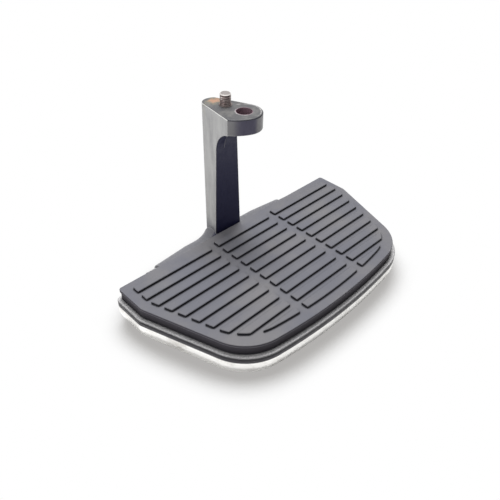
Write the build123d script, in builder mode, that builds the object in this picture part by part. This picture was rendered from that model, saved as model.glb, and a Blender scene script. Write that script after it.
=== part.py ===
from build123d import *
import os
from math import acos, atan2, cos, degrees, isclose, radians, sin, sqrt, tan

# Passenger floorboard for a motorcycle: a ribbed rubber pad on a cast pan, a bright pressed
# cover under it, and a cast support arm that the pan hinges on.
# Millimetres. The origin is the centre of the arm's bolt hole on its seating face, +Z leaves
# that face, X runs along the board's inner edge and -Y points to the board's outer edge.

# Heights of the board, measured down from the seating face
tread_drop = 116.0
pad_thickness = 9.7
pan_thickness = 3.0
cover_wall = 7.5
cover_curve = 14.3
cover_gauge = 1.2
cover_steps = 6

# Outline of the rubber pad
pad_length = 249.0
pad_depth = 127.2
edge_offset = 12.8
end_straight = 31.0
end_taper = 19.0
front_bow = 9.0
front_radius = 40.0
end_radius = 6.0
back_radius = 2.5

# Pad edge and its fixing pegs
pad_skin = 2.6
pad_undercut = 0.6
pad_edge_round = 0.8
peg_radius = 3.8
peg_bulb_radius = 5.0
peg_bulb_height = 5.0
peg_draft = 18.0
peg_play = 0.2
peg_columns = 4
peg_from_end = 42.0
peg_from_edge = 24.0
peg_from_front = 57.2

# Tread ribs
rib_pitch = 11.4
rib_width = 6.6
rib_height = 2.2
rib_start = 8.9
rib_half = 31.2
rib_gap = 8.1
rib_inset = 8.5
rib_edge = 0.4

# Pan
lip = 3.6
back_lip = 1.2
lip_corner = 5.0
lip_edge = 0.5
flange_thickness = 5.0
flange_clear = 2.0
web_thickness = 3.0
web_depth = 7.0
web_from_front = 15.2
lug_thickness = 9.0
lug_radius = 8.4

# Cover fixings
screw_from_end = 20.5
screw_from_edge = 30.0
screw_from_front = 23.2
screw_front_pitch = 58.0
screw_bow = 6.0
screw_radius = 2.45
screw_length = 13.0
screw_head = 4.6
screw_head_height = 3.0
hex_socket = 1.7
screw_play = 0.3
screw_edge = 0.5
boss_radius = 5.5
dimple_radius = 7.5
dimple_depth = 5.2
dimple_flare = 1.2
lock_washer_height = 1.2

# Pivot, measured from the pad's inner top edge
pivot_behind = 11.5
pivot_drop = 23.5
stop_gap = 0.3
bar_length = 152.0
bar_crown = 12.5
bar_crown_end = 10.2
bar_crown_run = 84.0
bar_back_round = 5.5
knuckle_length = 18.0
pocket_width = 12.0
pocket_radius = 6.9
pin_radius = 4.0
pin_head_radius = 6.5
pin_head_height = 3.0
pin_tail = 1.6
pin_chamfer = 0.8
washer_play = 0.2
running_fit = 0.05
bush_radius = 5.5
press_gap = 0.01
side_gap = 0.05
spring_height = 1.5
spring_gauge = 0.8
spring_radius = 8.2
washer_thickness = 1.0
washer_radius = 6.3
clip_thickness = 0.7
clip_radius = 6.0
clip_seat = 3.1
clip_mouth = 5.2

# Support arm
arm_turn = 9.5
ear_thickness = 13.0
ear_radius = 14.8
nose_end = -100.0
hole_radius = 6.5
arm_left = 19.5
arm_back = 36.8
ear_corner = 6.0
ear_flank_back = 6.0
arm_front_top = 10.3
arm_front_foot = 14.9
arm_right_top = -0.2
arm_right_foot = 6.8
arm_neck = 8.0
arm_neck_side = 5.0
arm_back_round = 7.4
arm_edge = 1.2
foot_blend = 14.0
foot_blend_right = 6.0
blend_sweep = 70.0
blend_steps = 5
stop_cut_height = 29.0
locator_radius = 4.5
locator_shank = 4.0
locator_height = 9.5
locator_depth = 12.0
locator_across = -5.6
locator_behind = 18.1
locator_edge = 0.8

# Levels and places that follow from the sizes above
tread_z = -tread_drop
pan_top = tread_z - pad_thickness
pan_under = pan_top - pan_thickness
curve_top = pan_under - cover_wall
floor_z = curve_top - cover_curve
boss_foot = floor_z + dimple_depth + cover_gauge
pivot_y = edge_offset + pivot_behind
pivot_z = tread_z - pivot_drop
barrel_radius = pivot_behind - back_lip - stop_gap
bar_end = bar_length / 2
knuckle_face = bar_end - knuckle_length
lug_face = bar_end + spring_height + 2 * side_gap
lug_outside = lug_face + lug_thickness
rib_rows = round((pad_depth - rib_start - rib_inset) / rib_pitch)
peg_pitch_x = (pad_length - 2 * peg_from_end) / (peg_columns - 1)
peg_pitch_y = pad_depth - peg_from_edge - peg_from_front
peg_centre = -peg_from_edge - peg_pitch_y / 2
web_rows = (peg_centre, -(pad_depth - peg_from_front / 2) - web_thickness)
web_columns = (-peg_pitch_x, 0, peg_pitch_x)
web_row_length = pad_length - 2 * (peg_from_end + peg_bulb_radius)
web_front = pad_depth - web_from_front
screw_places = [
    (screw_from_end - pad_length / 2, -screw_from_edge),
    (pad_length / 2 - screw_from_end, -screw_from_edge),
    (-screw_front_pitch, screw_from_front + screw_bow - pad_depth),
    (screw_front_pitch, screw_from_front + screw_bow - pad_depth),
    (0, screw_from_front - pad_depth),
]
lean = (arm_front_foot - arm_front_top) / (tread_drop - ear_thickness)
spread = (arm_right_foot - arm_right_top) / (tread_drop - ear_thickness)
column_run = -ear_thickness - pivot_z
front_foot = arm_front_top + lean * column_run
right_foot = arm_right_top + spread * column_run


def deck_level(z):
    """Horizontal plane whose origin lies under the middle of the pad's inner edge."""
    return Plane(origin=(0, edge_offset, z), z_dir=(0, 0, 1))


def arm_level(z):
    """Horizontal plane turned with the arm, its origin on the bolt hole's axis."""
    turn = radians(arm_turn)
    return Plane(origin=(0, 0, z), x_dir=(cos(turn), -sin(turn), 0), z_dir=(0, 0, 1))


def pivot_face(x):
    """Upright plane across the pivot: local x is +Y, local y is +Z, the normal is +X."""
    return Plane(origin=(x, pivot_y, pivot_z), x_dir=(0, 1, 0), z_dir=(1, 0, 0))


def deck_outline(grow, back, back_r, end_r, front_r):
    """The board's plan: a straight inner edge, short square ends, tapered sides and a bowed front."""
    half = pad_length / 2 + grow
    slope = tan(radians(end_taper))
    shift = grow * tan(radians(end_taper / 2))
    knee = end_straight + shift
    front = pad_depth + grow
    side_end = front - front_bow
    narrow = half - (side_end - knee) * slope
    with BuildSketch() as outline:
        with BuildLine():
            Polyline(
                (-narrow, -side_end),
                (-half, -knee),
                (-half, back),
                (half, back),
                (half, -knee),
                (narrow, -side_end),
            )
            ThreePointArc((narrow, -side_end), (0, -front), (-narrow, -side_end))
        make_face()
        corners = outline.vertices().sort_by(Axis.Y)
        fillet(corners[:2], front_r)
        fillet(outline.vertices().filter_by(lambda corner: isclose(corner.Y, -knee, abs_tol=0.01)), end_r)
        fillet(outline.vertices().filter_by(lambda corner: isclose(corner.Y, back, abs_tol=0.01)), back_r)
    return outline.sketch


def cover_body(wall):
    """The cover's outer form, or its inside when wall is the sheet's gauge."""
    radius = cover_curve - wall
    end_r = end_radius + lip
    front_r = front_radius + lip
    with BuildPart() as body:
        with BuildSketch(deck_level(pan_under)):
            add(deck_outline(lip - wall, back_lip - wall, lip_corner, end_r, front_r))
        extrude(amount=-cover_wall)
        for step in range(cover_steps + 1):
            turn = radians(90 * step / cover_steps)
            inset = wall + radius * (1 - cos(turn))
            with BuildSketch(deck_level(curve_top - radius * sin(turn))):
                add(deck_outline(lip - inset, back_lip - inset, lip_corner, end_r, front_r))
        loft()
        foot = floor_z + wall
        for place in screw_places:
            with BuildSketch(deck_level(foot)):
                with Locations(place):
                    Circle(dimple_radius + dimple_flare + wall)
            with BuildSketch(deck_level(foot + dimple_depth)):
                with Locations(place):
                    Circle(dimple_radius + wall)
            loft(mode=Mode.SUBTRACT)
    return body.part


def bar_section(x, back, height):
    """The pivot bar across its length: a flat front and underside for the two stops, a domed top."""
    low = back - bar_back_round
    front = degrees(acos(-barrel_radius / back))
    with BuildSketch(pivot_face(x)) as section:
        with BuildLine():
            top = EllipticalCenterArc((0, 0), back, height, start_angle=0, arc_size=front)
            Line(top @ 1, (-barrel_radius, 0))
            CenterArc((0, 0), barrel_radius, 180, 90)
            Line((0, -barrel_radius), (low, -barrel_radius))
            CenterArc((low, bar_back_round - barrel_radius), bar_back_round, 270, 90)
            Line((back, bar_back_round - barrel_radius), (back, 0))
        make_face()
    return section.sketch


def arm_wall(hand):
    """Where the column's side stands above the pivot: the left side for -1, the right side for 1."""
    turn = radians(arm_turn)
    across = -arm_left if hand < 0 else right_foot
    return (across + pivot_y * sin(turn)) / cos(turn)


def bar_stations(hand, blend):
    """Where the bar's sections stand and their size, from one end to inside the column."""
    wall_x = arm_wall(hand)
    midway = (bar_crown + bar_crown_end) / 2
    stations = [
        (hand * bar_end, bar_crown_end, bar_crown_end),
        (hand * (bar_end + bar_crown_run / 2) / 2, midway, midway),
        (hand * bar_crown_run / 2, bar_crown, bar_crown),
    ]
    for step in range(blend_steps + 1):
        turn = radians(blend_sweep * step / blend_steps)
        x = wall_x + hand * blend * (1 - sin(turn))
        stations.append((x, bar_crown, bar_crown + blend * (1 - cos(turn))))
    return stations


os.makedirs("parts", exist_ok=True)

# Rubber pad: a skin over an undercut body, raised ribs in three columns, pegs below
with BuildPart() as rubber_pad:
    with BuildSketch(deck_level(tread_z)):
        add(deck_outline(0, 0, back_radius, end_radius, front_radius))
    extrude(amount=-pad_skin)
    fillet(rubber_pad.faces().sort_by(Axis.Z)[-1].edges(), pad_edge_round)
    with BuildSketch(deck_level(tread_z - pad_skin)):
        add(deck_outline(-pad_undercut, -pad_undercut, back_radius, end_radius, front_radius))
    extrude(amount=-(pad_thickness - pad_skin))
    with BuildSketch(deck_level(tread_z)):
        side = pad_length / 2 - rib_half - rib_gap
        for row in range(rib_rows):
            depth = rib_width if row < rib_rows - 1 else rib_pitch
            with Locations((0, -rib_start - row * rib_pitch)):
                Rectangle(2 * rib_half, depth, align=(Align.CENTER, Align.MAX))
            for hand in (-1, 1):
                with Locations((hand * (rib_half + rib_gap + side / 2), -rib_start - row * rib_pitch)):
                    Rectangle(side, depth, align=(Align.CENTER, Align.MAX))
        add(deck_outline(-rib_inset, 0, back_radius, end_radius, front_radius), mode=Mode.INTERSECT)
    extrude(amount=rib_height)
    rib_rims = rubber_pad.faces().group_by(Axis.Z)[-1].edges()
    shortest = rib_rims.sort_by(SortBy.LENGTH)[0].length
    chamfer(rib_rims, min(rib_edge, shortest / 3))
    with BuildSketch(deck_level(pan_top)):
        with Locations((0, peg_centre)):
            with GridLocations(peg_pitch_x, peg_pitch_y, peg_columns, 2):
                Circle(peg_radius)
    extrude(amount=-pan_thickness - peg_bulb_height)
    with BuildSketch(deck_level(pan_under - peg_play)):
        with Locations((0, peg_centre)):
            with GridLocations(peg_pitch_x, peg_pitch_y, peg_columns, 2):
                Circle(peg_bulb_radius)
    extrude(amount=-peg_bulb_height, taper=peg_draft)
rubber_pad.part.label = "rubber_pad"
export_step(rubber_pad.part, "parts/rubber_pad.step")

# Pan: a plate with a lip all round, webs and bosses below, and a flange with the two lugs
with BuildPart() as board_pan:
    with BuildSketch(deck_level(pan_under)):
        add(deck_outline(lip, back_lip, lip_corner, end_radius + lip, front_radius + lip))
    extrude(amount=pan_thickness)
    chamfer(board_pan.faces().sort_by(Axis.Z)[-1].edges(), lip_edge)
    with BuildSketch(deck_level(pan_under)):
        for row in web_rows:
            with Locations((0, row)):
                Rectangle(web_row_length, web_thickness)
        for column in web_columns:
            with Locations((column, -web_front / 2)):
                Rectangle(web_thickness, web_front)
    extrude(amount=-web_depth)
    with BuildSketch(deck_level(pan_under)):
        with Locations(*screw_places):
            Circle(boss_radius)
    extrude(amount=boss_foot + side_gap - pan_under)
    with BuildSketch(deck_level(pan_under)):
        with Locations((0, back_lip - flange_thickness / 2)):
            Rectangle(2 * lug_outside, flange_thickness)
    extrude(amount=floor_z + flange_clear - pan_under)
    for hand in (-1, 1):
        with BuildSketch(pivot_face(hand * lug_face)):
            with BuildLine():
                CenterArc((0, 0), lug_radius, 0, 360)
                Polyline(
                    (-pivot_behind + back_lip - flange_thickness, pan_under - pivot_z),
                    (-pivot_behind + back_lip, pan_under - pivot_z),
                    (-pivot_behind + back_lip - flange_thickness, floor_z + flange_clear - pivot_z),
                    close=True,
                )
            make_hull()
        extrude(amount=hand * lug_thickness)
        with BuildSketch(pivot_face(hand * lug_face)):
            Circle(pin_radius + running_fit)
        extrude(amount=hand * lug_thickness, mode=Mode.SUBTRACT)
    with BuildSketch(deck_level(boss_foot)):
        with Locations(*screw_places):
            Circle(screw_radius + running_fit)
    extrude(amount=screw_length, mode=Mode.SUBTRACT)
    with BuildSketch(deck_level(pan_under)):
        with Locations((0, peg_centre)):
            with GridLocations(peg_pitch_x, peg_pitch_y, peg_columns, 2):
                Circle(peg_radius + peg_play)
    extrude(amount=pan_thickness, mode=Mode.SUBTRACT)
board_pan.part.label = "board_pan"
export_step(board_pan.part, "parts/board_pan.step")

# Cover: a pressed dish with a dimple for each screw, open on the flange's side
with BuildPart() as lower_cover:
    add(cover_body(0))
    add(cover_body(cover_gauge), mode=Mode.SUBTRACT)
    with BuildSketch(deck_level(floor_z)):
        with Locations((0, back_lip - flange_thickness - side_gap + pad_depth / 2)):
            Rectangle(2 * (lug_outside + peg_play), pad_depth)
    extrude(amount=pan_under - floor_z, mode=Mode.SUBTRACT)
    with BuildSketch(deck_level(floor_z)):
        with Locations(*screw_places):
            Circle(screw_radius + screw_play)
    extrude(amount=boss_foot - floor_z, mode=Mode.SUBTRACT)
lower_cover.part.label = "lower_cover"
export_step(lower_cover.part, "parts/lower_cover.step")

# Cover screws with socket heads, and the split lock washers under the heads
seat_z = floor_z + dimple_depth
with BuildPart() as cover_screws:
    with BuildSketch(deck_level(seat_z - lock_washer_height)):
        with Locations(*screw_places):
            Circle(screw_radius)
    extrude(amount=screw_length + lock_washer_height)
    with BuildSketch(deck_level(seat_z - lock_washer_height)):
        with Locations(*screw_places):
            Circle(screw_head)
    extrude(amount=-screw_head_height)
    chamfer(cover_screws.faces().group_by(Axis.Z)[0].edges(), screw_edge)
    with BuildSketch(deck_level(seat_z - lock_washer_height - screw_head_height)):
        with Locations(*screw_places):
            RegularPolygon(hex_socket, 6)
    extrude(amount=hex_socket, mode=Mode.SUBTRACT)
cover_screws.part.label = "cover_screws"
export_step(cover_screws.part, "parts/cover_screws.step")

with BuildPart() as lock_washers:
    with BuildSketch(deck_level(seat_z)):
        with Locations(*screw_places):
            Circle(screw_head)
            Circle(screw_radius + screw_play, mode=Mode.SUBTRACT)
        for place in screw_places:
            with Locations((place[0] + screw_head / 2, place[1])):
                Rectangle(screw_head, lock_washer_height / 2, mode=Mode.SUBTRACT)
    extrude(amount=-lock_washer_height)
lock_washers.part.label = "lock_washers"
export_step(lock_washers.part, "parts/lock_washers.step")

# Support arm: a column cut to its side view, front view and plan, standing on the pivot bar
side_view = Plane(origin=(0, 0, 0), x_dir=arm_level(0).y_dir, z_dir=arm_level(0).x_dir)
front_view = Plane(origin=(0, 0, 0), x_dir=arm_level(0).x_dir, z_dir=-arm_level(0).y_dir)
reach = sqrt(arm_back**2 + ear_flank_back**2)
touch = atan2(arm_back, -ear_flank_back) - acos(ear_radius / reach)
with BuildPart() as support_arm:
    with BuildSketch(side_view):
        with BuildLine():
            side_line = FilletPolyline(
                (-2 * ear_radius, -ear_thickness),
                (arm_front_top, -ear_thickness),
                (front_foot, pivot_z),
                radius=arm_neck,
            )
            Polyline(side_line @ 1, (arm_back, pivot_z), (arm_back, 0), (-2 * ear_radius, 0), side_line @ 0)
        make_face()
    extrude(amount=2 * arm_back, both=True)
    with BuildSketch(front_view):
        with BuildLine():
            front_line = FilletPolyline(
                (2 * ear_radius, -ear_thickness),
                (arm_right_top, -ear_thickness),
                (right_foot, pivot_z),
                radius=arm_neck_side,
            )
            Polyline(
                front_line @ 1,
                (-arm_left, pivot_z),
                (-arm_left, 0),
                (2 * ear_radius, 0),
                front_line @ 0,
            )
        make_face()
    extrude(amount=2 * arm_back, both=True, mode=Mode.INTERSECT)
    with BuildSketch(arm_level(0)):
        with BuildLine():
            nose = CenterArc((0, 0), ear_radius, degrees(touch), nose_end - degrees(touch))
            TangentArc(nose @ 1, (-arm_left, -ear_corner), tangent=nose % 1)
            FilletPolyline(
                (-arm_left, -ear_corner),
                (-arm_left, arm_back),
                (-ear_flank_back, arm_back),
                nose @ 0,
                radius=arm_back_round,
            )
        make_face()
    extrude(amount=pivot_z, mode=Mode.INTERSECT)
    for x, back, height in bar_stations(-1, foot_blend) + bar_stations(1, foot_blend_right)[::-1]:
        add(bar_section(x, back, height))
    loft(ruled=True)
    with BuildSketch(deck_level(pivot_z - barrel_radius)):
        with Locations((0, back_lip + stop_gap)):
            Rectangle(bar_length, pivot_behind, align=(Align.CENTER, Align.MAX))
    extrude(amount=stop_cut_height, mode=Mode.SUBTRACT)
    fillet(support_arm.faces().sort_by(Axis.Z)[-1].edges(), arm_edge)
    with BuildSketch(arm_level(0)):
        Circle(hole_radius)
    extrude(amount=-ear_thickness, mode=Mode.SUBTRACT)
    with BuildSketch(arm_level(0)):
        with Locations((locator_across, locator_behind)):
            Circle(locator_shank + press_gap)
    extrude(amount=-locator_depth, mode=Mode.SUBTRACT)
    for hand in (-1, 1):
        with BuildSketch(pivot_face(hand * knuckle_face)):
            Circle(bush_radius + press_gap)
        extrude(amount=hand * knuckle_length, mode=Mode.SUBTRACT)
        with BuildSketch(pivot_face(hand * knuckle_face)):
            Circle(pocket_radius)
            Rectangle(2 * pocket_radius, 2 * barrel_radius, align=(Align.CENTER, Align.MAX))
        extrude(amount=-hand * pocket_width, mode=Mode.SUBTRACT)
support_arm.part.label = "support_arm"
export_step(support_arm.part, "parts/support_arm.step")

# Locating pin pressed into the ear beside the bolt hole
with BuildPart() as locating_pin:
    with BuildSketch(arm_level(0)):
        with Locations((locator_across, locator_behind)):
            Circle(locator_shank)
    extrude(amount=side_gap - locator_depth)
    with BuildSketch(arm_level(0)):
        with Locations((locator_across, locator_behind)):
            Circle(locator_radius)
    extrude(amount=locator_height)
    chamfer(locating_pin.faces().sort_by(Axis.Z)[-1].edges(), locator_edge)
locating_pin.part.label = "locating_pin"
export_step(locating_pin.part, "parts/locating_pin.step")

# The same set of pivot pieces at each end of the bar, from the clip outwards to the pin's head
for hand, side in ((-1, "left"), (1, "right")):
    washer_x = knuckle_face - side_gap
    clip_x = washer_x - washer_thickness - side_gap
    tail_x = clip_x - clip_thickness - pin_tail
    head_x = lug_outside + side_gap
    spring_x = bar_end + side_gap

    with BuildPart() as pivot_bush:
        with BuildSketch(pivot_face(hand * knuckle_face)):
            Circle(bush_radius)
            Circle(pin_radius + running_fit, mode=Mode.SUBTRACT)
        extrude(amount=hand * knuckle_length)
    pivot_bush.part.label = f"pivot_bush_{side}"
    export_step(pivot_bush.part, f"parts/pivot_bush_{side}.step")

    with BuildPart() as pivot_pin:
        with BuildSketch(pivot_face(hand * tail_x)):
            Circle(pin_radius)
        extrude(amount=hand * (head_x - tail_x))
        tail_rim = pivot_pin.edges().filter_by(GeomType.CIRCLE).sort_by(Axis.X, reverse=hand < 0)[0]
        chamfer(tail_rim, pin_chamfer)
        with BuildSketch(pivot_face(hand * head_x)):
            Circle(pin_head_radius)
        extrude(amount=hand * pin_head_height)
        head_rim = pivot_pin.edges().filter_by(GeomType.CIRCLE).sort_by(Axis.X, reverse=hand > 0)[0]
        chamfer(head_rim, pin_chamfer)
        with BuildSketch(pivot_face(hand * (clip_x + side_gap))):
            Circle(pin_radius)
            Circle(clip_seat - side_gap, mode=Mode.SUBTRACT)
        extrude(amount=-hand * (clip_thickness + 2 * side_gap), mode=Mode.SUBTRACT)
    pivot_pin.part.label = f"pivot_pin_{side}"
    export_step(pivot_pin.part, f"parts/pivot_pin_{side}.step")

    with BuildPart() as pin_clip:
        with BuildSketch(pivot_face(hand * clip_x)):
            Circle(clip_radius)
            Circle(clip_seat, mode=Mode.SUBTRACT)
            Rectangle(clip_mouth, clip_radius, align=(Align.CENTER, Align.MAX), mode=Mode.SUBTRACT)
        extrude(amount=-hand * clip_thickness)
    pin_clip.part.label = f"pin_clip_{side}"
    export_step(pin_clip.part, f"parts/pin_clip_{side}.step")

    with BuildPart() as flat_washer:
        with BuildSketch(pivot_face(hand * washer_x)):
            Circle(washer_radius)
            Circle(pin_radius + washer_play, mode=Mode.SUBTRACT)
        extrude(amount=-hand * washer_thickness)
    flat_washer.part.label = f"flat_washer_{side}"
    export_step(flat_washer.part, f"parts/flat_washer_{side}.step")

    with BuildPart() as spring_washer:
        with BuildSketch(Plane(origin=(0, pivot_y, pivot_z), x_dir=(1, 0, 0), z_dir=(0, -1, 0))):
            with BuildLine():
                Polyline(
                    (hand * spring_x, spring_radius),
                    (hand * (spring_x + spring_gauge), spring_radius),
                    (hand * (spring_x + spring_height), pin_radius + washer_play),
                    (hand * (spring_x + spring_height - spring_gauge), pin_radius + washer_play),
                    close=True,
                )
            make_face()
        revolve(axis=Axis((0, pivot_y, pivot_z), (1, 0, 0)))
    spring_washer.part.label = f"spring_washer_{side}"
    export_step(spring_washer.part, f"parts/spring_washer_{side}.step")
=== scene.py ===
import math
import bpy
import numpy as np
from mathutils import Matrix, Vector


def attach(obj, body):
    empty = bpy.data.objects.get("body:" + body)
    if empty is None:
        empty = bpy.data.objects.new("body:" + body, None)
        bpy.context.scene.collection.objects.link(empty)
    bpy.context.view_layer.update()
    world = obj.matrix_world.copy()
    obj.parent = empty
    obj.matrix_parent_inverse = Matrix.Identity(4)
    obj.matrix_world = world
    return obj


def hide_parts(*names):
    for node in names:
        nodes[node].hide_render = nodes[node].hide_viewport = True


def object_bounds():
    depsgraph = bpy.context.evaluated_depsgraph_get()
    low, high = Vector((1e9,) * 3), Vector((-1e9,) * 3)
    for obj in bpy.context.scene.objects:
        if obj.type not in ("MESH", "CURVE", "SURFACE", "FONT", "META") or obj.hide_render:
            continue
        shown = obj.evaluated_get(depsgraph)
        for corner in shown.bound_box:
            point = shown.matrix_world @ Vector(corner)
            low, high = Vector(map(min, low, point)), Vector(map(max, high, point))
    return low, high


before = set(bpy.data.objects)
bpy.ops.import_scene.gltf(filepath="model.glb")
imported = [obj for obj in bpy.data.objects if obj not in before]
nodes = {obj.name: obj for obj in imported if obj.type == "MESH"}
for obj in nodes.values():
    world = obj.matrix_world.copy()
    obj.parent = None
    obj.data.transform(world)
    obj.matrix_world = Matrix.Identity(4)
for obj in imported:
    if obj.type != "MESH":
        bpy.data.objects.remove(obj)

cadLow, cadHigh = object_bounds()
print("frame loaded:", len(nodes), "nodes")

# Camera, solved from the photo: metres and degrees, focal length in pixels of a 500 pixel frame
camera = {
    "place": (-0.26548, -0.27449, 0.17498),
    "azimuth": -45.08,
    "elevation": 39.35,
    "roll": 1.35,
    "focalPixels": 527.68,
    "framePixels": 500,
    "sensor": 36.0,
}


def placeCamera(c):
    turn, rise, roll = (math.radians(c[k]) for k in ("azimuth", "elevation", "roll"))
    back = Vector((math.sin(turn) * math.cos(rise), -math.cos(turn) * math.cos(rise), math.sin(rise)))
    right = (-back).cross(Vector((0, 0, 1))).normalized()
    up = back.cross(right)
    rightRolled = right * math.cos(roll) + up * math.sin(roll)
    upRolled = up * math.cos(roll) - right * math.sin(roll)
    data = bpy.data.cameras.new("photoCamera")
    data.sensor_width = c["sensor"]
    data.lens = c["focalPixels"] * c["sensor"] / c["framePixels"]
    data.clip_start, data.clip_end = 0.01, 50
    obj = bpy.data.objects.new("photoCamera", data)
    bpy.context.scene.collection.objects.link(obj)
    turnMatrix = Matrix((rightRolled, upRolled, back)).transposed().to_4x4()
    obj.matrix_world = Matrix.Translation(c["place"]) @ turnMatrix
    bpy.context.scene.camera = obj
    return obj


placeCamera(camera)


# Short ways to make and wire nodes
def addNode(tree, kind, **values):
    made = tree.nodes.new(kind)
    for key, value in values.items():
        if hasattr(made, key):
            setattr(made, key, value)
        else:
            made.inputs[key.replace("_", " ")].default_value = value
    return made


def link(tree, source, target):
    tree.links.new(source, target)


def feed(tree, value, socket):
    # A number goes on the socket itself, anything else is linked to it
    if isinstance(value, (int, float)):
        socket.default_value = value
    else:
        link(tree, value, socket)


def mathNode(tree, operation, a, b=None, clamp=False):
    made = addNode(tree, "ShaderNodeMath", operation=operation, use_clamp=clamp)
    feed(tree, a, made.inputs[0])
    if b is not None:
        feed(tree, b, made.inputs[1])
    return made.outputs[0]


def vectorMath(tree, operation, vector, other=None):
    # other is a fixed vector; outputs are Vector and Value
    made = addNode(tree, "ShaderNodeVectorMath", operation=operation)
    link(tree, vector, made.inputs[0])
    if other is not None:
        made.inputs[1].default_value = other
    return made.outputs


def remap(tree, value, low, high, outLow=0.0, outHigh=1.0):
    made = addNode(tree, "ShaderNodeMapRange", interpolation_type="SMOOTHSTEP")
    link(tree, value, made.inputs["Value"])
    feed(tree, low, made.inputs["From Min"])
    feed(tree, high, made.inputs["From Max"])
    feed(tree, outLow, made.inputs["To Min"])
    feed(tree, outHigh, made.inputs["To Max"])
    return made.outputs["Result"]


def noise(tree, where, scale, detail=4.0, rough=0.55):
    made = addNode(tree, "ShaderNodeTexNoise", Detail=detail, Roughness=rough)
    link(tree, where, made.inputs["Vector"])
    feed(tree, scale, made.inputs["Scale"])
    return made.outputs["Fac"]


def mixShaders(tree, mask, a, b):
    made = addNode(tree, "ShaderNodeMixShader")
    for socket, source in zip(made.inputs, (mask, a, b)):
        link(tree, source, socket)
    return made.outputs[0]


def cameraSees(tree):
    # 1 for camera, mirror and glass rays, 0 for rays that carry light
    rays = addNode(tree, "ShaderNodeLightPath").outputs
    seen = mathNode(tree, "MAXIMUM", rays["Is Camera Ray"], rays["Is Glossy Ray"])
    return mathNode(tree, "MAXIMUM", seen, rays["Is Transmission Ray"])


# Studio: white world seen by the camera and by reflections, a softer one that lights the object
white = (1, 1, 1, 1)
studio = {
    "worldLight": 0.34,
    "keyPlace": (0.28, 0.32, 1.30),
    "keySize": 0.6,
    "keyPower": 22.0,
    "fillPlace": (-1.0, 0.05, 0.45),
    "fillSize": 0.8,
    "fillPower": 5.0,
    "lampTarget": (0, -0.03, -0.12),
    "floorSize": 6.0,
    "floorGap": 0.0002,
    "floorColour": (0.86, 0.852, 0.84, 1),
    "floorCentre": (0, -0.04),
    "floorNear": 0.17,
    "floorFar": 0.36,
    "floorGlowNear": 0.0,
    "floorGlowFar": 0.78,
    "shadowColour": (0.10, 0.085, 0.07, 1),
    "shadowReach": 0.032,
    "shadowOpen": 0.92,
    "shadowShut": 0.50,
    "shadowDepth": 0.62,
}


def buildWorld(s):
    world = bpy.data.worlds.new("studioWorld")
    bpy.context.scene.world = world
    world.use_nodes = True
    tree = world.node_tree
    tree.nodes.clear()
    light = addNode(tree, "ShaderNodeBackground", Color=white, Strength=s["worldLight"])
    seen = addNode(tree, "ShaderNodeBackground", Color=white, Strength=1.0)
    out = addNode(tree, "ShaderNodeOutputWorld")
    link(tree, mixShaders(tree, cameraSees(tree), light.outputs[0], seen.outputs[0]), out.inputs[0])


def areaLamp(s, name):
    data = bpy.data.lights.new(name + "Lamp", "AREA")
    data.shape, data.size, data.energy = "SQUARE", s[name + "Size"], s[name + "Power"]
    obj = bpy.data.objects.new(name + "Lamp", data)
    bpy.context.scene.collection.objects.link(obj)
    obj.location = s[name + "Place"]
    ahead = Vector(s["lampTarget"]) - Vector(s[name + "Place"])
    obj.rotation_euler = ahead.to_track_quat("-Z", "Y").to_euler()


def litPaper(tree, s, level):
    # The floor as light and reflections meet it: paper, with a glow for mirror rays away from the object
    coord = addNode(tree, "ShaderNodeTexCoord")
    apart = vectorMath(tree, "DISTANCE", coord.outputs["Object"], (*s["floorCentre"], level))["Value"]
    fade = remap(tree, apart, s["floorNear"], s["floorFar"], s["floorGlowNear"], s["floorGlowFar"])
    paper = addNode(tree, "ShaderNodeBsdfDiffuse", Color=s["floorColour"])
    glow = addNode(tree, "ShaderNodeEmission", Color=white)
    link(tree, mathNode(tree, "MULTIPLY", cameraSees(tree), fade), glow.inputs["Strength"])
    both = addNode(tree, "ShaderNodeAddShader")
    link(tree, paper.outputs[0], both.inputs[0])
    link(tree, glow.outputs[0], both.inputs[1])
    return both.outputs[0]


def seenPaper(tree, s, clear):
    # The floor as the camera sees it: clear, darker where something stands on it or close above it
    dark = addNode(tree, "ShaderNodeEmission", Color=s["shadowColour"], Strength=1.0)
    contact = addNode(tree, "ShaderNodeAmbientOcclusion", samples=16, Distance=s["shadowReach"])
    depth = remap(tree, contact.outputs["AO"], s["shadowOpen"], s["shadowShut"], 0.0, s["shadowDepth"])
    return mixShaders(tree, depth, clear, dark.outputs[0])


def floorPaper(s, level):
    # Clear for shadow rays and from below, so that what hangs under the floor is lit and seen
    mat = bpy.data.materials.new("floorPaper")
    mat.use_nodes = True
    tree = mat.node_tree
    tree.nodes.clear()
    clear = addNode(tree, "ShaderNodeBsdfTransparent", Color=white).outputs[0]
    rays = addNode(tree, "ShaderNodeLightPath").outputs
    side = addNode(tree, "ShaderNodeNewGeometry").outputs["Backfacing"]
    paper = mixShaders(tree, rays["Is Camera Ray"], litPaper(tree, s, level), seenPaper(tree, s, clear))
    through = mathNode(tree, "MAXIMUM", rays["Is Shadow Ray"], side)
    out = addNode(tree, "ShaderNodeOutputMaterial")
    link(tree, mixShaders(tree, through, paper, clear), out.inputs[0])
    return mat


def buildFloor(s, level):
    corners = np.array([(-1, -1), (1, -1), (1, 1), (-1, 1)]) * s["floorSize"] / 2
    points = np.column_stack([corners, np.full(4, level)])
    mesh = bpy.data.meshes.new("floorMesh")
    mesh.from_pydata(points.tolist(), [], [(0, 1, 2, 3)])
    mesh.materials.append(floorPaper(s, level))
    obj = bpy.data.objects.new("studioFloor", mesh)
    bpy.context.scene.collection.objects.link(obj)


buildWorld(studio)
areaLamp(studio, "key")
areaLamp(studio, "fill")
buildFloor(studio, cadLow.z - studio["floorGap"])
bpy.context.scene.view_settings.view_transform = "Standard"
print("studio built")


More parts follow.
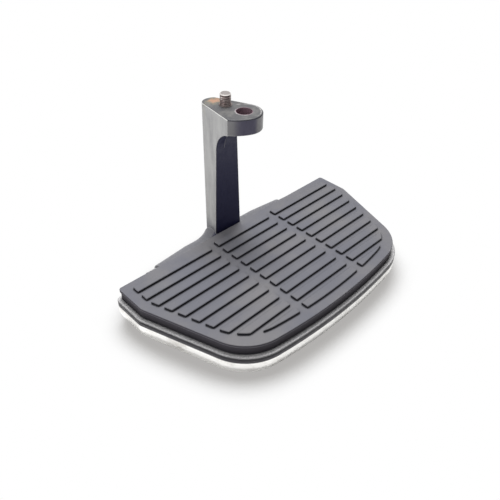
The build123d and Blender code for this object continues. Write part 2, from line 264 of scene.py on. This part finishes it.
# Node groups shared by the finishes
def newGroup(name, inputs, outputs):
    tree = bpy.data.node_groups.new(name, "ShaderNodeTree")
    tree.interface.new_socket(name="Where", in_out="INPUT", socket_type="NodeSocketVector")
    for label, value in inputs:
        socket = tree.interface.new_socket(name=label, in_out="INPUT", socket_type="NodeSocketFloat")
        socket.default_value = value
    for label in outputs:
        tree.interface.new_socket(name=label, in_out="OUTPUT", socket_type="NodeSocketFloat")
    return tree, addNode(tree, "NodeGroupInput").outputs, addNode(tree, "NodeGroupOutput").inputs


def edgeWearGroup():
    # 1 on outside and inside edges, broken up by noise
    inputs = (("Width", 0.0006), ("Breakup", 260.0), ("Amount", 1.0))
    tree, given, out = newGroup("edgeWear", inputs, ("Mask",))
    bevel = addNode(tree, "ShaderNodeBevel", samples=6)
    link(tree, given["Width"], bevel.inputs["Radius"])
    shape = addNode(tree, "ShaderNodeNewGeometry")
    dot = addNode(tree, "ShaderNodeVectorMath", operation="DOT_PRODUCT")
    link(tree, bevel.outputs["Normal"], dot.inputs[0])
    link(tree, shape.outputs["Normal"], dot.inputs[1])
    edge = remap(tree, dot.outputs["Value"], 0.999, 0.90)
    grain = noise(tree, given["Where"], given["Breakup"], 5.0, 0.65)
    chip = remap(tree, mathNode(tree, "ADD", edge, grain), 0.75, 1.15)
    mask = mathNode(tree, "MULTIPLY", chip, edge)
    link(tree, mathNode(tree, "MULTIPLY", mask, given["Amount"], True), out["Mask"])
    return tree


def castGrainGroup():
    # Sand cast skin: a height made of two noises and small pits, and a shade that goes with it
    tree, given, out = newGroup("castGrain", (("Scale", 700.0),), ("Height", "Shade"))
    where, scale = given["Where"], given["Scale"]
    fine = noise(tree, where, scale, 6.0, 0.7)
    coarse = noise(tree, where, mathNode(tree, "MULTIPLY", scale, 0.14), 4.0, 0.6)
    cells = addNode(tree, "ShaderNodeTexVoronoi", feature="F1")
    link(tree, where, cells.inputs["Vector"])
    link(tree, mathNode(tree, "MULTIPLY", scale, 0.6), cells.inputs["Scale"])
    pits = remap(tree, cells.outputs["Distance"], 0.22, 0.10)
    fineHeight = mathNode(tree, "MULTIPLY", fine, 0.6)
    height = mathNode(tree, "ADD", fineHeight, mathNode(tree, "MULTIPLY", coarse, 0.9))
    link(tree, mathNode(tree, "SUBTRACT", height, mathNode(tree, "MULTIPLY", pits, 0.25)), out["Height"])
    shade = mathNode(tree, "MULTIPLY", mathNode(tree, "ADD", fine, coarse), 0.5)
    link(tree, shade, out["Shade"])
    return tree


def speckGroup():
    # Sparse round specks: 1 within Size of the points of some cells, a Share of them all
    inputs = (("Scale", 120.0), ("Size", 0.12), ("Share", 0.2))
    tree, given, out = newGroup("specks", inputs, ("Mask",))
    cells = addNode(tree, "ShaderNodeTexVoronoi", feature="F1")
    link(tree, given["Where"], cells.inputs["Vector"])
    link(tree, given["Scale"], cells.inputs["Scale"])
    near = mathNode(tree, "LESS_THAN", cells.outputs["Distance"], given["Size"])
    pick = addNode(tree, "ShaderNodeSeparateColor")
    link(tree, cells.outputs["Color"], pick.inputs[0])
    chosen = mathNode(tree, "LESS_THAN", pick.outputs[0], given["Share"])
    link(tree, mathNode(tree, "MULTIPLY", near, chosen), out["Mask"])
    return tree


def creaseShadeGroup():
    # 1 in the corner where two surfaces meet, out to about Reach from it; the finishes darken there as
    # painted shade
    inputs = (("Reach", 0.002), ("Open", 0.9), ("Shut", 0.6))
    tree, given, out = newGroup("creaseShade", inputs, ("Mask",))
    hollow = addNode(tree, "ShaderNodeAmbientOcclusion", samples=8)
    link(tree, given["Reach"], hollow.inputs["Distance"])
    link(tree, remap(tree, hollow.outputs["AO"], given["Open"], given["Shut"]), out["Mask"])
    return tree


groups = {
    "edgeWear": edgeWearGroup(),
    "castGrain": castGrainGroup(),
    "specks": speckGroup(),
    "creaseShade": creaseShadeGroup(),
}


class Finish:
    # One material under way: its tree, its Principled shader and short ways to wire them
    def __init__(self, name, **sockets):
        self.mat = bpy.data.materials.new(name)
        self.mat.use_nodes = True
        self.tree = self.mat.node_tree
        self.shader = self.tree.nodes["Principled BSDF"]
        for key, value in sockets.items():
            self.shader.inputs[key.replace("_", " ")].default_value = value
        coord = addNode(self.tree, "ShaderNodeTexCoord")
        self.where, self.facing = coord.outputs["Object"], coord.outputs["Normal"]
        self.x, self.y, self.z = self.parts(self.where)
        self.nx, self.ny, self.nz = self.parts(self.facing)

    def parts(self, vector):
        split = addNode(self.tree, "ShaderNodeSeparateXYZ")
        link(self.tree, vector, split.inputs[0])
        return split.outputs

    def group(self, name, **values):
        made = addNode(self.tree, "ShaderNodeGroup", node_tree=groups[name])
        link(self.tree, self.where, made.inputs["Where"])
        for key, value in values.items():
            made.inputs[key].default_value = value
        return made.outputs

    def mask(self, name, values):
        return self.group(name, **values)["Mask"]

    def noise(self, scale, detail=4.0, rough=0.55, stretch=None):
        where = self.where
        if stretch:
            where = vectorMath(self.tree, "MULTIPLY", where, stretch)["Vector"]
        return noise(self.tree, where, scale, detail, rough)

    def remap(self, value, low, high, outLow=0.0, outHigh=1.0):
        return remap(self.tree, value, low, high, outLow, outHigh)

    def math(self, operation, a, b=None, clamp=False):
        return mathNode(self.tree, operation, a, b, clamp)

    def times(self, a, b):
        return self.math("MULTIPLY", a, b)

    def apart(self, a, b):
        return self.math("ABSOLUTE", self.math("SUBTRACT", a, b))

    def mix(self, mask, a, b):
        made = addNode(self.tree, "ShaderNodeMix", data_type="RGBA")
        link(self.tree, mask, made.inputs[0])
        for socket, value in ((made.inputs[6], a), (made.inputs[7], b)):
            if isinstance(value, tuple):
                socket.default_value = (*value, 1)
            else:
                link(self.tree, value, socket)
        return made.outputs[2]

    def near(self, centre, radius, soft, stretch=(1, 1, 1)):
        # 1 inside radius of a place, falling to 0 over soft; the edge wanders with noise
        shift = vectorMath(self.tree, "SUBTRACT", self.where, centre)["Vector"]
        scaled = vectorMath(self.tree, "MULTIPLY", shift, stretch)["Vector"]
        length = vectorMath(self.tree, "LENGTH", scaled)["Value"]
        wander = self.times(self.math("SUBTRACT", self.noise(220, 3), 0.5), soft * 2.5)
        return self.remap(self.math("ADD", length, wander), radius + soft, radius)

    def ring(self, radius, width):
        # 1 on a circle of this radius about the Z axis, falling to 0 over width on both sides
        flat = vectorMath(self.tree, "MULTIPLY", self.where, (1, 1, 0))["Vector"]
        length = vectorMath(self.tree, "LENGTH", flat)["Value"]
        return self.remap(self.apart(length, radius), width, 0.0)

    def dot(self, vector, direction):
        return vectorMath(self.tree, "DOT_PRODUCT", vector, Vector(direction).normalized())["Value"]

    def toward(self, direction):
        # How far the surface faces a direction, in the piece's own space
        return self.dot(self.facing, direction)

    def bump(self, height, distance, strength=1.0):
        made = addNode(self.tree, "ShaderNodeBump", Strength=strength, Distance=distance)
        link(self.tree, height, made.inputs["Height"])
        link(self.tree, made.outputs[0], self.shader.inputs["Normal"])

    def set(self, socket, value):
        link(self.tree, value, self.shader.inputs[socket])

    def paint(self, *names):
        for name in names:
            if not nodes[name].material_slots:
                nodes[name].data.materials.append(self.mat)
            for slot in nodes[name].material_slots:
                slot.material = self.mat


tread = {
    "worn": (0.140, 0.142, 0.165),
    "dusty": (0.180, 0.176, 0.184),
    "side": (0.034, 0.031, 0.040),
    "foot": (0.012, 0.010, 0.014),
    "black": (0.010, 0.010, 0.014),
    "dirt": (0.012, 0.012, 0.014),
    "beadHighlight": (0.115, 0.110, 0.125),
    "patchScale": 18,
    "grainScale": 1500,
    "grainShade": (0.88, 1.10),
    "ribFoot": -0.1159,
    "ribFade": 0.0004,
    "sideTop": -0.1175,
    "sideFoot": -0.1250,
    "bead": -0.1180,
    "groove": -0.1187,
    "lineWidth": 0.0004,
    "crease": {"Reach": 0.0022, "Open": 0.93, "Shut": 0.60},
    "wear": {"Width": 0.0007, "Breakup": 420.0, "Amount": 0.3},
    "specks": {"Scale": 70.0, "Size": 0.045, "Share": 0.05},
    "rough": (0.62, 0.88),
    "lumpScale": 260,
    "lumpShare": 0.7,
    "bump": 0.00005,
}


def treadRubber(c):
    f = Finish("treadRubber", Specular_IOR_Level=0.3)
    up = f.remap(f.nz, 0.35, 0.85)
    fine = f.noise(c["grainScale"], 4, 0.7)
    worn = f.mix(f.remap(f.noise(c["patchScale"], 5, 0.6), 0.35, 0.7), c["worn"], c["dusty"])
    # The pad's sides: dark rubber in painted shade, darker still towards the foot; a painted highlight
    # along the bead and a stripe of painted shade in the groove under it
    side = f.mix(f.remap(f.z, c["sideFoot"], c["sideTop"]), c["foot"], c["side"])
    for level, lineColour in ((c["bead"], c["beadHighlight"]), (c["groove"], c["black"])):
        side = f.mix(f.remap(f.apart(f.z, level), c["lineWidth"], 0.0), side, lineColour)
    # The ribs' sides go black: rubber without dust, deepened by painted shade
    side = f.mix(f.remap(f.z, c["ribFoot"], c["ribFoot"] + c["ribFade"]), side, c["black"])
    shade = f.math("MULTIPLY", f.remap(fine, 0.3, 0.7, *c["grainShade"]), up, True)
    # Tops take the dusty grey, sides the dark colours above; painted shade blackens the corners at the
    # ribs' feet
    body = f.mix(f.mask("creaseShade", c["crease"]), f.mix(shade, side, worn), c["black"])
    body = f.mix(f.times(f.mask("edgeWear", c["wear"]), up), body, c["dusty"])
    f.set("Base Color", f.mix(f.mask("specks", c["specks"]), body, c["dirt"]))
    f.set("Roughness", f.remap(fine, 0.2, 0.8, *c["rough"]))
    f.bump(f.math("ADD", fine, f.times(f.noise(c["lumpScale"], 3), c["lumpShare"])), c["bump"])
    f.paint("rubber_pad")


pan = {
    "ledge": (0.60, 0.59, 0.59),
    "ledgeDark": (0.32, 0.32, 0.33),
    "edgeBright": (0.60, 0.60, 0.61),
    "black": (0.012, 0.011, 0.015),
    "castScale": 1100.0,
    "mottleScale": 900,
    "crease": {"Reach": 0.0030, "Open": 0.80, "Shut": 0.55},
    "wear": {"Width": 0.0005, "Breakup": 500.0, "Amount": 0.9},
    "rough": (0.38, 0.62),
    "bump": 0.00008,
}


def panCasting(c):
    f = Finish("panCasting", Metallic=0.25, Specular_IOR_Level=0.3)
    cast = f.group("castGrain", Scale=c["castScale"])
    up = f.remap(f.nz, 0.55, 0.9)
    mottle = f.mix(f.remap(f.noise(c["mottleScale"], 6, 0.8), 0.42, 0.6), c["ledgeDark"], c["ledge"])
    edge = f.times(f.mask("edgeWear", c["wear"]), up)
    colour = f.mix(edge, f.mix(up, c["black"], mottle), c["edgeBright"])
    # Painted shade in the corners, along the ledge at the pad's foot
    f.set("Base Color", f.mix(f.mask("creaseShade", c["crease"]), colour, c["black"]))
    f.set("Roughness", f.remap(cast["Shade"], 0.3, 0.7, *c["rough"]))
    f.bump(cast["Height"], c["bump"])
    f.paint("board_pan")


cover = {
    "bright": (0.88, 0.88, 0.87),
    "haze": (0.60, 0.59, 0.57),
    "rim": (0.020, 0.019, 0.026),
    "rimLine": (0.30, 0.30, 0.31),
    "rimFoot": -0.1312,
    "soft": 0.0005,
    "smearScale": 55,
    "metallic": (1.0, 0.2),
    "rough": (0.05, 0.22),
    "rimRough": 0.30,
    "waveScale": 30,
    "bump": 0.00002,
}


def coverChrome(c):
    f = Finish("coverChrome")
    rim = f.remap(f.z, c["rimFoot"] - c["soft"], c["rimFoot"] + c["soft"])
    smear = f.noise(c["smearScale"], 5, 0.65)
    bright = f.mix(f.remap(smear, 0.42, 0.70), c["bright"], c["haze"])
    top = f.times(rim, f.remap(f.nz, 0.5, 0.8))
    f.set("Base Color", f.mix(top, f.mix(rim, bright, c["rim"]), c["rimLine"]))
    f.set("Metallic", f.remap(rim, 0, 1, *c["metallic"]))
    rough = f.remap(smear, 0.35, 0.75, *c["rough"])
    f.set("Roughness", f.math("ADD", rough, f.times(rim, c["rimRough"])))
    f.bump(f.noise(c["waveScale"], 3), c["bump"], 0.4)
    f.paint("lower_cover")


arm = {
    "turn": 9.5,
    "metalAndSheen": (0.345, 0.345, 0.345),
    "sheenDark": (0.24, 0.24, 0.245),
    "castScale": 520.0,
    "streakScale": 160,
    "streak": (1, 1, 0.2),
    "streakShare": 0.6,
    "top": (0.058, 0.058, 0.063),
    "topWorn": (0.118, 0.115, 0.112),
    "wornScale": 85,
    "topPaint": 0.6,
    "side": (0.050, 0.047, 0.075),
    "sideLight": (0.145, 0.143, 0.150),
    "sideToward": (-0.38, -0.92, 0),
    "earDepth": -0.013,
    "earFade": (-0.001, 0.0005),
    "corner": -0.72,
    "cornerSoft": 0.07,
    "rimShade": (0.018, 0.018, 0.026),
    "rimHighlight": (0.70, 0.70, 0.68),
    "rimHighlightShare": 0.7,
    "front": (0.007, 0.0075, 0.034),
    "frontHigh": (0.028, 0.029, 0.060),
    "highFrom": -0.055,
    "highTo": -0.024,
    "highScale": 190,
    "archAcross": -0.0125,
    "archLevel": -0.0207,
    "archRadius": 0.0065,
    "archSoft": 0.0006,
    "archRim": 0.0011,
    "foot": (0.135, 0.135, 0.150),
    "footFrom": -0.108,
    "footTo": -0.120,
    "highlight": (0.42, 0.41, 0.41),
    "highlightScale": 300,
    "edgeRing": 0.0131,
    "edgeAcross": (0.0, 0.007),
    "holeRing": 0.0071,
    "holeAcross": (0.002, -0.004),
    "ringWidth": 0.0007,
    "wear": {"Width": 0.0008, "Breakup": 300.0, "Amount": 0.8},
    "stain": (-0.0035, 0.0300, 0.0),
    "stainStretch": (0.62, 1, 0.5),
    "rust": (0.40, 0.20, 0.115),
    "rustSize": (0.0012, 0.0040),
    "rustShare": 0.8,
    "rustRim": (0.22, 0.20, 0.135),
    "rimSize": (0.0035, 0.0045),
    "rimShare": 0.55,
    "holeRust": (0.21, 0.135, 0.165),
    "holeSize": (0.0066, 0.0006),
    "metallic": (0.45, 0.0),
    "rough": (0.42, 0.66),
    "bump": 0.00016,
}


def armCasting(c):
    f = Finish("armCasting")
    turn = math.radians(c["turn"])
    rightward = (math.cos(turn), -math.sin(turn), 0)
    backward = (math.sin(turn), math.cos(turn), 0)
    forward = (-math.sin(turn), -math.cos(turn), 0)
    cast = f.group("castGrain", Scale=c["castScale"])
    up = f.remap(f.nz, 0.6, 0.9)

    # The column's front shows the black paint in painted shade; it ends under the ear in a quarter circle
    # towards the left side
    past = f.math("MAXIMUM", f.math("SUBTRACT", c["archAcross"], f.dot(f.where, rightward)), 0.0)
    square = f.math("SUBTRACT", c["archRadius"]**2, f.times(past, past))
    arch = f.math("ADD", f.math("SQRT", f.math("MAXIMUM", square, 0.0)), c["archLevel"])
    below = f.math("SUBTRACT", arch, f.z)
    facingFront = f.remap(f.toward(forward), 0.30, 0.50)
    front = f.times(facingFront, f.remap(below, 0.0, c["archSoft"]))

    # Painted reflection on the black paint: light grey with streaks along the column; the ear's side
    # ahead of the corner in painted shade, darkest in its middle and lighter towards its ends
    ahead = f.remap(f.toward(rightward), c["corner"], c["corner"] + c["cornerSoft"])
    ahead = f.times(ahead, f.remap(f.toward(backward), 0.55, 0.25))
    nose = f.times(f.remap(f.z, c["earDepth"] + c["earFade"][0], c["earDepth"] + c["earFade"][1]), ahead)
    streaks = f.times(f.noise(c["streakScale"], 4, 0.6, c["streak"]), c["streakShare"])
    shade = f.math("ADD", f.times(cast["Shade"], 1 - c["streakShare"]), streaks)
    metalAndSheen = f.mix(f.remap(shade, 0.38, 0.62), c["sheenDark"], c["metalAndSheen"])
    middle = f.remap(f.apart(f.toward(c["sideToward"]), 1.0), 0.10, 0.01)
    colour = f.mix(nose, metalAndSheen, f.mix(middle, c["sideLight"], c["side"]))
    worn = f.mix(f.remap(f.noise(c["wornScale"], 5, 0.6), 0.42, 0.66), c["top"], c["topWorn"])
    colour = f.mix(up, colour, worn)

    # The rounded edge round the ear's top: a stripe of painted shade ahead and a painted highlight along
    # the sides
    rim = f.times(f.remap(f.nz, 0.12, 0.35), f.remap(f.nz, 0.93, 0.70))
    colour = f.mix(f.times(rim, ahead), colour, c["rimShade"])
    rimHighlight = f.times(rim, f.math("SUBTRACT", 1.0, ahead))
    colour = f.mix(f.times(rimHighlight, c["rimHighlightShare"]), colour, c["rimHighlight"])

    # The foot in darker grey, the black paint with less painted reflection; the front in painted shade,
    # lighter up high in blotches of painted sheen; a painted highlight along the arch
    low = f.remap(f.z, c["footFrom"], c["footTo"])
    colour = f.mix(low, colour, c["foot"])
    blotches = f.remap(f.noise(c["highScale"], 4, 0.6), 0.38, 0.62)
    high = f.times(f.remap(f.z, c["highFrom"], c["highTo"]), blotches)
    colour = f.mix(front, colour, f.mix(high, c["front"], c["frontHigh"]))
    nearArch = f.remap(below, -c["archRim"], -c["archRim"] / 2)
    nearArch = f.times(nearArch, f.remap(below, c["archSoft"], 0.0))
    colour = f.mix(f.times(nearArch, facingFront), colour, c["rimHighlight"])

    # Painted highlights in rings on the ear's top, along its right edge and round the left of the hole;
    # worn edges, the rust stain behind the pin and rust in the hole
    edgeRing = f.times(f.ring(c["edgeRing"], c["ringWidth"]), f.remap(f.x, *c["edgeAcross"]))
    holeRing = f.times(f.ring(c["holeRing"], c["ringWidth"]), f.remap(f.x, *c["holeAcross"]))
    highlight = f.times(f.math("MAXIMUM", edgeRing, holeRing), up)
    colour = f.mix(f.times(highlight, f.remap(f.noise(c["highlightScale"], 4), 0.3, 0.6)), colour, c["highlight"])
    colour = f.mix(f.mask("edgeWear", c["wear"]), colour, c["metalAndSheen"])
    faded = f.near(c["stain"], *c["rimSize"], c["stainStretch"])
    colour = f.mix(f.times(faded, c["rimShare"]), colour, c["rustRim"])
    rust = f.near(c["stain"], *c["rustSize"], c["stainStretch"])
    colour = f.mix(f.times(rust, c["rustShare"]), colour, c["rust"])
    hole = f.near((0, 0, c["earDepth"] / 2), *c["holeSize"], (1, 1, 0))
    f.set("Base Color", f.mix(hole, colour, c["holeRust"]))

    painted = f.math("MAXIMUM", f.math("MAXIMUM", front, rust), low)
    painted = f.math("MAXIMUM", painted, f.times(up, c["topPaint"]))
    f.set("Metallic", f.remap(painted, 0, 1, *c["metallic"]))
    f.set("Roughness", f.remap(cast["Shade"], 0.3, 0.7, *c["rough"]))
    f.bump(cast["Height"], c["bump"])
    f.paint("support_arm")
    return f.mat


hardware = {
    "zinc": (0.50, 0.50, 0.52),
    "dull": (0.28, 0.27, 0.26),
    "rust": (0.22, 0.09, 0.04),
    "blotchScale": 420,
    "rustScale": 900,
    "rough": (0.28, 0.5),
    "bump": 0.00002,
    "starts": ("cover_screws", "lock_w", "pivot_pin", "pin_clip", "flat_", "spring_"),
}


def zincHardware(c):
    f = Finish("zincHardware", Metallic=0.9)
    blotch = f.noise(c["blotchScale"], 5, 0.65)
    colour = f.mix(f.remap(blotch, 0.4, 0.65), c["zinc"], c["dull"])
    f.set("Base Color", f.mix(f.remap(f.noise(c["rustScale"], 4), 0.62, 0.74), colour, c["rust"]))
    f.set("Roughness", f.remap(blotch, 0.3, 0.7, *c["rough"]))
    f.bump(f.noise(2500, 3), c["bump"])
    f.paint(*[name for name in nodes if name.startswith(c["starts"])])


bush = {
    "bronze": (0.42, 0.25, 0.10),
    "pores": (0.20, 0.11, 0.05),
    "poreScale": 1800,
    "rough": (0.3, 0.55),
}


def bronzeBush(c):
    f = Finish("bronzeBush", Metallic=0.9)
    pores = f.noise(c["poreScale"], 4, 0.7)
    f.set("Base Color", f.mix(f.remap(pores, 0.4, 0.65), c["bronze"], c["pores"]))
    f.set("Roughness", f.remap(pores, 0.3, 0.7, *c["rough"]))
    f.paint("pivot_bush_left", "pivot_bush_right")


dowel = {
    "steel": (0.20, 0.165, 0.16),
    "brown": (0.12, 0.085, 0.08),
    "bright": (0.30, 0.275, 0.265),
    "highlight": (0.60, 0.57, 0.55),
    "dark": (0.045, 0.030, 0.030),
    "ringScale": 260.0,
    "topFrom": 0.0088,
    "topSoft": 0.0001,
    "groove": 0.0080,
    "grooveWidth": 0.0009,
    "grooveShare": 0.7,
    "glints": ((-0.0068, 0.0186, 0.0071), (-0.0068, 0.0188, 0.0056)),
    "glintSize": (0.0002, 0.0004),
    "glintStretch": (0.5, 0.5, 1),
    "glintShare": 0.8,
    "rough": (0.3, 0.45),
    "bump": 0.00004,
}


def dowelSteel(c):
    f = Finish("dowelSteel", Metallic=0.75)
    wave = addNode(f.tree, "ShaderNodeTexWave", bands_direction="Z", Distortion=1.2, Detail=2.0)
    wave.inputs["Scale"].default_value = c["ringScale"]
    link(f.tree, f.where, wave.inputs["Vector"])
    rings = wave.outputs["Fac"]
    colour = f.mix(f.remap(f.noise(300, 5, 0.6), 0.38, 0.62), c["steel"], c["brown"])
    # Painted highlights in bands along the turned rings
    colour = f.mix(f.remap(rings, 0.75, 1.0, 0.0, 0.5), colour, c["bright"])
    # A ring of painted shade just under the top
    groove = f.remap(f.apart(f.z, c["groove"]), c["grooveWidth"], 0.0)
    colour = f.mix(f.times(groove, c["grooveShare"]), colour, c["dark"])
    # Painted glints: two small highlight spots on the pin's -X side below the top
    for place in c["glints"]:
        spot = f.near(place, *c["glintSize"], c["glintStretch"])
        colour = f.mix(f.times(spot, c["glintShare"]), colour, c["highlight"])
    # Lighter on the top face, with a painted highlight on the chamfer round it
    top = f.remap(f.z, c["topFrom"] - c["topSoft"], c["topFrom"] + c["topSoft"])
    rim = f.times(top, f.remap(f.nz, 0.98, 0.85))
    f.set("Base Color", f.mix(rim, f.mix(top, colour, c["bright"]), c["highlight"]))
    f.set("Roughness", f.remap(rings, 0, 1, *c["rough"]))
    f.bump(f.noise(900, 4), c["bump"])
    f.paint("locating_pin")
    return f.mat


treadRubber(tread)
panCasting(pan)
coverChrome(cover)
armPaint = armCasting(arm)
zincHardware(hardware)
bronzeBush(bush)
pinSteel = dowelSteel(dowel)
print("finishes made")


# New pieces, as numpy surfaces in metres; the arm's own axes are turned against the part's
def offArm(across, along):
    # From the arm's axes: x = across cos turn + along sin turn, y = along cos turn - across sin turn
    cos, sin = math.cos(math.radians(arm["turn"])), math.sin(math.radians(arm["turn"]))
    return across * cos + along * sin, along * cos - across * sin


def armPiece(name, points, faces, material):
    mesh = bpy.data.meshes.new(name)
    mesh.from_pydata(points.tolist(), [], faces)
    mesh.update()
    mesh.materials.append(material)
    obj = bpy.data.objects.new(name, mesh)
    bpy.context.scene.collection.objects.link(obj)
    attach(obj, "arm")
    return obj


# Thickening of the neck under the ear, along the arm's left side
neck = {
    "left": -0.01949,
    "right": -0.01130,
    "under": -0.0130,
    "front": 0.0103,
    "lean": 0.045,
    "radius": 0.0205,
    "start": -0.0060,
    "sink": 0.0006,
    "steps": 48,
}


def neckGusset(c, material):
    # Section: the corner between ear and column less part of a circle that touches both.
    # along = front - radius + radius sin t, level = under - radius + radius cos t, t up to 90 degrees
    first = math.asin((c["start"] - c["front"] + c["radius"]) / c["radius"])
    t = np.linspace(first, math.pi / 2, c["steps"])
    along = c["front"] - c["radius"] + c["radius"] * np.sin(t)
    level = c["under"] - c["radius"] + c["radius"] * np.cos(t)
    along = along + c["lean"] * (c["under"] - level)
    back, top = along[-1] + c["sink"], c["under"] + c["sink"]
    along = np.concatenate([along, [back, back, along[0]]])
    level = np.concatenate([level, [level[-1], top, top]])
    count = len(along)
    x, y = offArm(np.repeat([c["left"], c["right"]], count), np.tile(along, 2))
    here = np.arange(count)
    after = np.roll(here, -1)
    sides = np.column_stack([here, after, after + count, here + count])
    caps = [here[::-1].tolist(), (here + count).tolist()]
    points = np.column_stack([x, y, np.tile(level, 2)])
    armPiece("neckGusset", points, sides.tolist() + caps, material)


neckGusset(neck, armPaint)
print("neck made")

# Locating pin with turned rings, and the collar at its foot
pin = {
    "across": -0.0056,
    "behind": 0.0181,
    "radius": 0.0045,
    "height": 0.0095,
    "chamfer": 0.0007,
    "rings": (0.0016, 0.0029, 0.0042, 0.0055, 0.0076),
    "ringDepth": 0.00022,
    "ringWidth": 0.00030,
    "sink": 0.0004,
    "collarRadius": 0.0054,
    "collarHeight": 0.0004,
    "collarEdge": 0.0002,
    "collarGap": 0.00002,
    "around": 96,
    "along": 160,
    "sharpAngle": 35,
}


def turnedPiece(name, radii, levels, c, material):
    # Surface of revolution: x = centre + r cos a, y = centre + r sin a for every (r, z) of the profile
    centre = offArm(c["across"], c["behind"])
    angle = np.linspace(0, 2 * math.pi, c["around"], endpoint=False)
    x = centre[0] + np.outer(radii, np.cos(angle))
    y = centre[1] + np.outer(radii, np.sin(angle))
    z = np.repeat(levels[:, None], c["around"], axis=1)
    points = np.column_stack([x.ravel(), y.ravel(), z.ravel()])
    row, column = np.meshgrid(np.arange(len(radii) - 1), np.arange(c["around"]), indexing="ij")
    here = (row * c["around"] + column).ravel()
    beside = (row * c["around"] + (column + 1) % c["around"]).ravel()
    quads = np.column_stack([here, beside, beside + c["around"], here + c["around"]])
    first = np.arange(c["around"])
    caps = [first[::-1].tolist(), (first + (len(radii) - 1) * c["around"]).tolist()]
    obj = armPiece(name, points, quads.tolist() + caps, material)
    obj.data.shade_smooth()
    obj.data.set_sharp_from_angle(angle=math.radians(c["sharpAngle"]))
    return obj


def turnedPin(c, material):
    # Radius along the height: the rod less a bell shaped groove at each ring, less the chamfer at the top
    levels = np.linspace(-c["sink"], c["height"], c["along"])
    offsets = (levels[:, None] - np.array(c["rings"])) / c["ringWidth"]
    grooves = c["ringDepth"] * np.exp(-offsets**2).sum(axis=1)
    top = np.clip(levels - (c["height"] - c["chamfer"]), 0, None)
    rod = turnedPiece("turnedPin", c["radius"] - grooves - top, levels, c, material)
    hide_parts("locating_pin")
    outer, tall = c["collarRadius"], c["collarHeight"]
    edge = np.array([outer, outer, outer - c["collarEdge"], c["radius"] + c["collarGap"]])
    turnedPiece("pinCollar", edge, np.array([-c["sink"], tall / 2, tall, tall]), c, material)


turnedPin(pin, pinSteel)
print("pin made")
